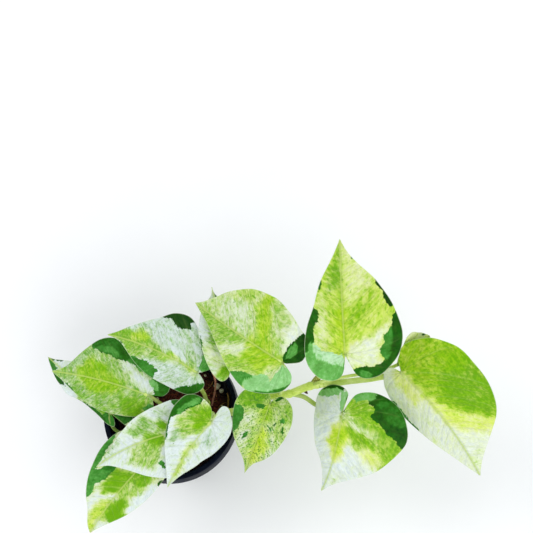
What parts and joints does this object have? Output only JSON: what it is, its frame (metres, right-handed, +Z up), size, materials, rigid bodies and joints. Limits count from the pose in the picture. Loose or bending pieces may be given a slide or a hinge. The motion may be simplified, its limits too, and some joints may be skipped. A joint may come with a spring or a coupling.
{
  "type": "potted variegated pothos plant",
  "caption": "Small potted pothos with heart-shaped variegated leaves on petioles and a vine that arches out over the rim of a round nursery pot filled with potting mix.",
  "frame": {"origin": "centre of the underside of the pot's base, on the surface it stands on", "axes": "+Z up along the pot's axis; +X the way the vine reaches out over the rim; -Y the front, nearest the eye in a view from above"},
  "size_m": [0.3421, 0.2042, 0.1722],
  "materials": {
    "pot_plastic": "satin",
    "potting_mix": "matte",
    "stem": "satin",
    "root": "matte",
    "leaf_runner_top": "satin",
    "leaf_runner_right": "satin",
    "leaf_runner_low": "satin",
    "leaf_runner_young": "satin",
    "leaf_arch_top": "satin",
    "leaf_arch_low": "satin",
    "leaf_back": "satin",
    "leaf_left_white": "satin",
    "leaf_left_lime": "satin",
    "leaf_left_edge": "satin",
    "leaf_front_low": "satin",
    "leaf_front_mid": "satin",
    "leaf_front_heart": "satin"
  },
  "bodies": {
    "root": {"pot": "pot_plastic", "soil": "potting_mix", "vine": "stem", "stem_back": "stem", "stem_front": "stem", "stem_left": "stem", "aerial_root": "root", "leaf_runner_top": "leaf_runner_top", "leaf_runner_right": "leaf_runner_right", "leaf_runner_low": "leaf_runner_low", "leaf_runner_young": "leaf_runner_young", "leaf_arch_top": "leaf_arch_top", "leaf_arch_low": "leaf_arch_low", "leaf_back": "leaf_back", "leaf_left_white": "leaf_left_white", "leaf_left_lime": "leaf_left_lime", "leaf_left_edge": "leaf_left_edge", "leaf_front_low": "leaf_front_low", "leaf_front_mid": "leaf_front_mid", "leaf_front_heart": "leaf_front_heart"}
  },
  "joints": []
}
